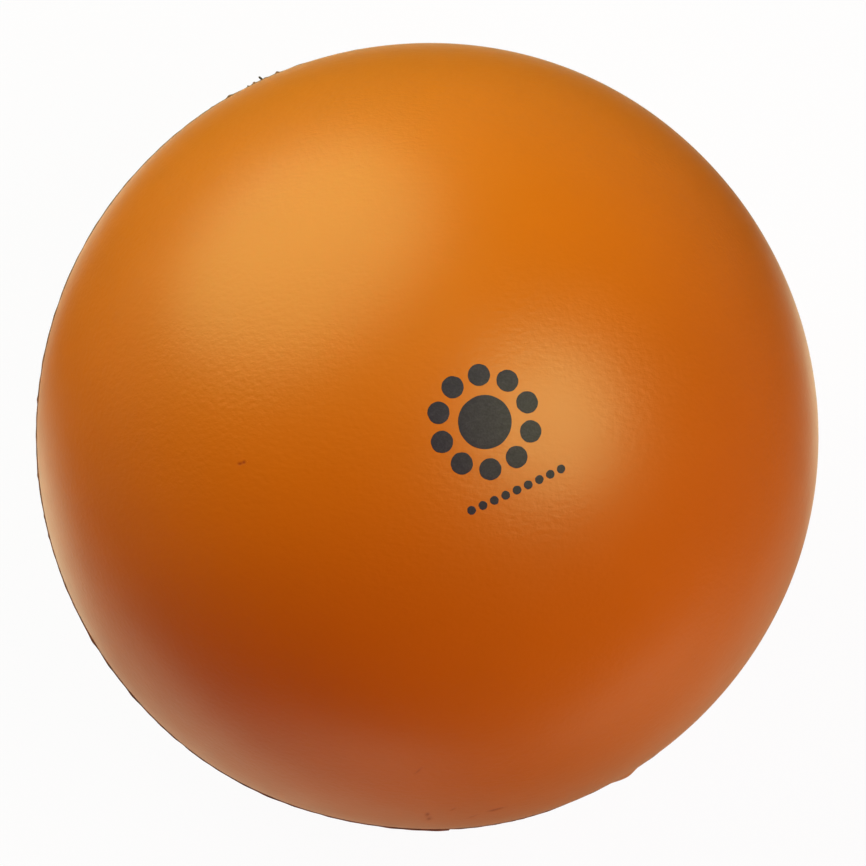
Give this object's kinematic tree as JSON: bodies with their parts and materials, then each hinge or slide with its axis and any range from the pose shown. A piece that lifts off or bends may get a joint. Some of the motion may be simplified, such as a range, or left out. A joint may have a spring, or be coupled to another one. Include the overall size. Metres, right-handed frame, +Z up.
{
  "type": "soft foam play ball",
  "caption": "Round soft ball for indoor play: a foam core in a satin orange polyurethane skin made of half shells, with a trimmed mould seam and a sealed pouring gate.",
  "frame": {"origin": "middle of the flat patch that the ball rests on, on the floor", "axes": "+Z up along the mould axis through the ball's centre, with the print near the top pole; +X and +Y are the right and the top of the picture; the seam lies in a plane square to +Z at the ball's centre"},
  "size_m": [0.2006, 0.2006, 0.1988],
  "materials": {
    "skin": "satin",
    "seam": "matte",
    "foam": "matte",
    "print_ink": "satin"
  },
  "bodies": {
    "root": {"foam_core": "foam", "upper_skin": "skin", "lower_skin": "skin", "seam_bead": "seam", "gate_seal": "skin"}
  },
  "joints": []
}
